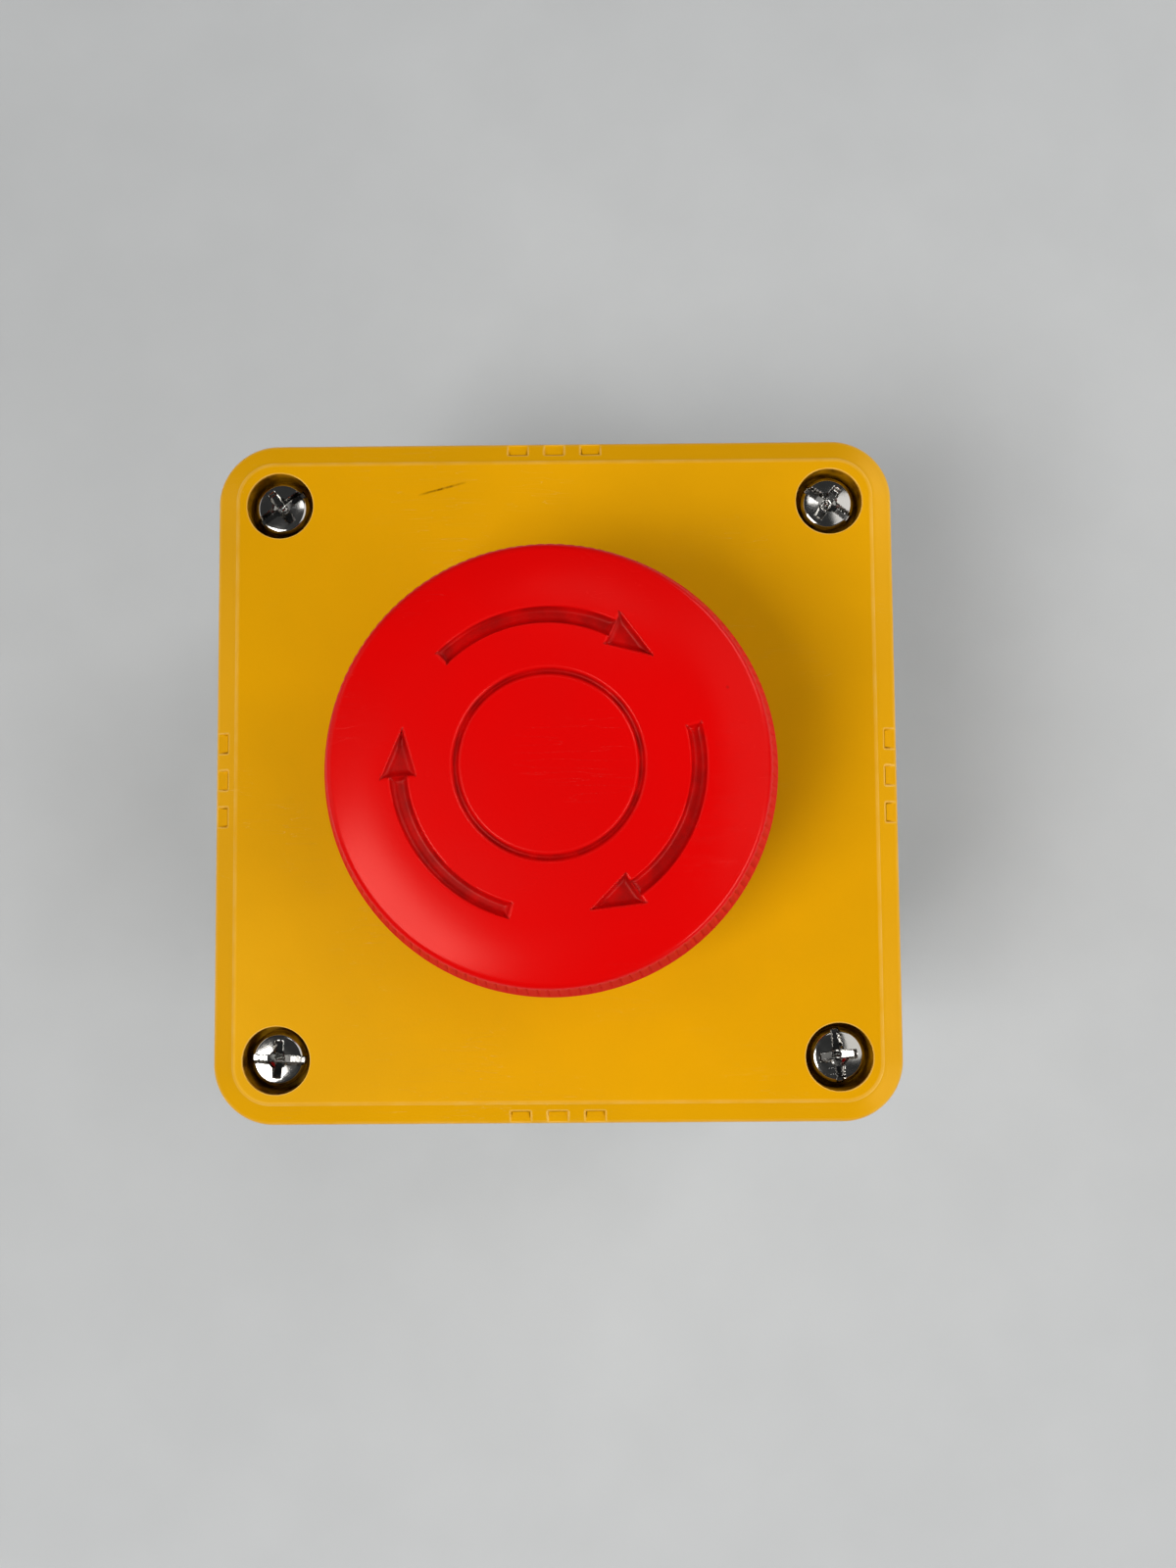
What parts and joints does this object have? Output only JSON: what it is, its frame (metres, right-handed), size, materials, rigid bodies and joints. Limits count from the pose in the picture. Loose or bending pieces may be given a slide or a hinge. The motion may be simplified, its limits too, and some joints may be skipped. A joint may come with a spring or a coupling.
{
  "type": "emergency stop push button station",
  "caption": "Square wall box with a yellow screwed lid, a red twist-to-release mushroom button and two contact blocks inside.",
  "frame": {"origin": "centre of the box's flat back, on the surface that it lies or is fastened on", "axes": "+Z points out of the back's surface through the button towards the user; +Y is up when the station is fixed to a wall; +X is to the right as the user faces it"},
  "size_m": [0.068, 0.068, 0.0716],
  "materials": {
    "base_grey": "fine moulded grain",
    "lid_yellow": "satin moulded grain with light wear on the edges",
    "cap_red": "soft gloss",
    "seal_rubber": "matt",
    "bright_screw": "bright zinc plating",
    "head_black": "satin",
    "stem_white": "smooth",
    "spring_steel": "drawn wire",
    "terminal_steel": "zinc plated",
    "block_housing": "fine grain",
    "bridge_silver": null,
    "contact_brass": "stamped",
    "plunger_red": "smooth",
    "plunger_green": "smooth"
  },
  "bodies": {
    "station": {"base_box": "base_grey", "lid": "lid_yellow", "lid_gasket": "seal_rubber", "lid_screw_1": "bright_screw", "lid_screw_2": "bright_screw", "lid_screw_3": "bright_screw", "lid_screw_4": "bright_screw", "head_body": "head_black", "head_seal": "seal_rubber", "stem_seal": "seal_rubber", "spring_seat": "head_black", "latch_holder": "head_black", "latch_clip": "spring_steel", "return_spring": "spring_steel", "fixing_nut": "head_black", "contact_carrier": "head_black", "carrier_screw": "terminal_steel", "nc_housing": "block_housing", "nc_cover": "block_housing", "nc_spring": "spring_steel", "nc_contact_front": "contact_brass", "nc_contact_rear": "contact_brass", "nc_clamp_front": "terminal_steel", "nc_clamp_rear": "terminal_steel", "nc_screw_front": "terminal_steel", "nc_screw_rear": "terminal_steel", "no_housing": "block_housing", "no_cover": "block_housing", "no_spring": "spring_steel", "no_contact_front": "contact_brass", "no_contact_rear": "contact_brass", "no_clamp_front": "terminal_steel", "no_clamp_rear": "terminal_steel", "no_screw_front": "terminal_steel", "no_screw_rear": "terminal_steel"},
    "pusher_slide": {"pusher": "head_black"},
    "button": {"mushroom_cap": "cap_red", "stem": "stem_white", "pusher_circlip": "spring_steel"},
    "nc_plunger_slide": {"nc_plunger": "plunger_red"},
    "no_plunger_slide": {"no_plunger": "plunger_green"},
    "nc_bridge_slide": {"nc_bridge": "bridge_silver"},
    "no_bridge_slide": {"no_bridge": "bridge_silver"}
  },
  "joints": [
    {"name": "head_press", "type": "slide", "parent": "station", "child": "pusher_slide", "axis": [0, 0, -1], "range_m": [0, 0.0045], "stiffness_N_per_m": 3000, "springref_m": -0.004, "deforming": ["return_spring"]},
    {"name": "head_twist", "type": "hinge", "parent": "pusher_slide", "child": "button", "pos_m": [0, 0, 0.0653], "axis": [0, 0, 1], "range_deg": [-35, 0], "stiffness_Nm_per_rad": 0.02, "springref_deg": 17.19},
    {"name": "nc_plunger_press", "type": "slide", "parent": "station", "child": "nc_plunger_slide", "axis": [0, 0, -1], "range_m": [0, 0.0045], "stiffness_N_per_m": 250, "springref_m": -0.004, "deforming": ["nc_spring"]},
    {"name": "no_plunger_press", "type": "slide", "parent": "station", "child": "no_plunger_slide", "axis": [0, 0, -1], "range_m": [0, 0.0045], "stiffness_N_per_m": 250, "springref_m": -0.004, "deforming": ["no_spring"]},
    {"name": "nc_bridge_open", "type": "slide", "parent": "station", "child": "nc_bridge_slide", "axis": [0, 0, -1], "range_m": [0, 0.0036]},
    {"name": "no_bridge_close", "type": "slide", "parent": "station", "child": "no_bridge_slide", "axis": [0, 0, -1], "range_m": [0, 0.0032]}
  ],
  "couplings": [
    {"joint": "nc_plunger_press", "follows": "head_press", "ratio": 1},
    {"joint": "no_plunger_press", "follows": "head_press", "ratio": 1},
    {"joint": "nc_bridge_open", "follows": "head_press", "ratio": 0.8},
    {"joint": "no_bridge_close", "follows": "head_press", "ratio": 0.711}
  ]
}
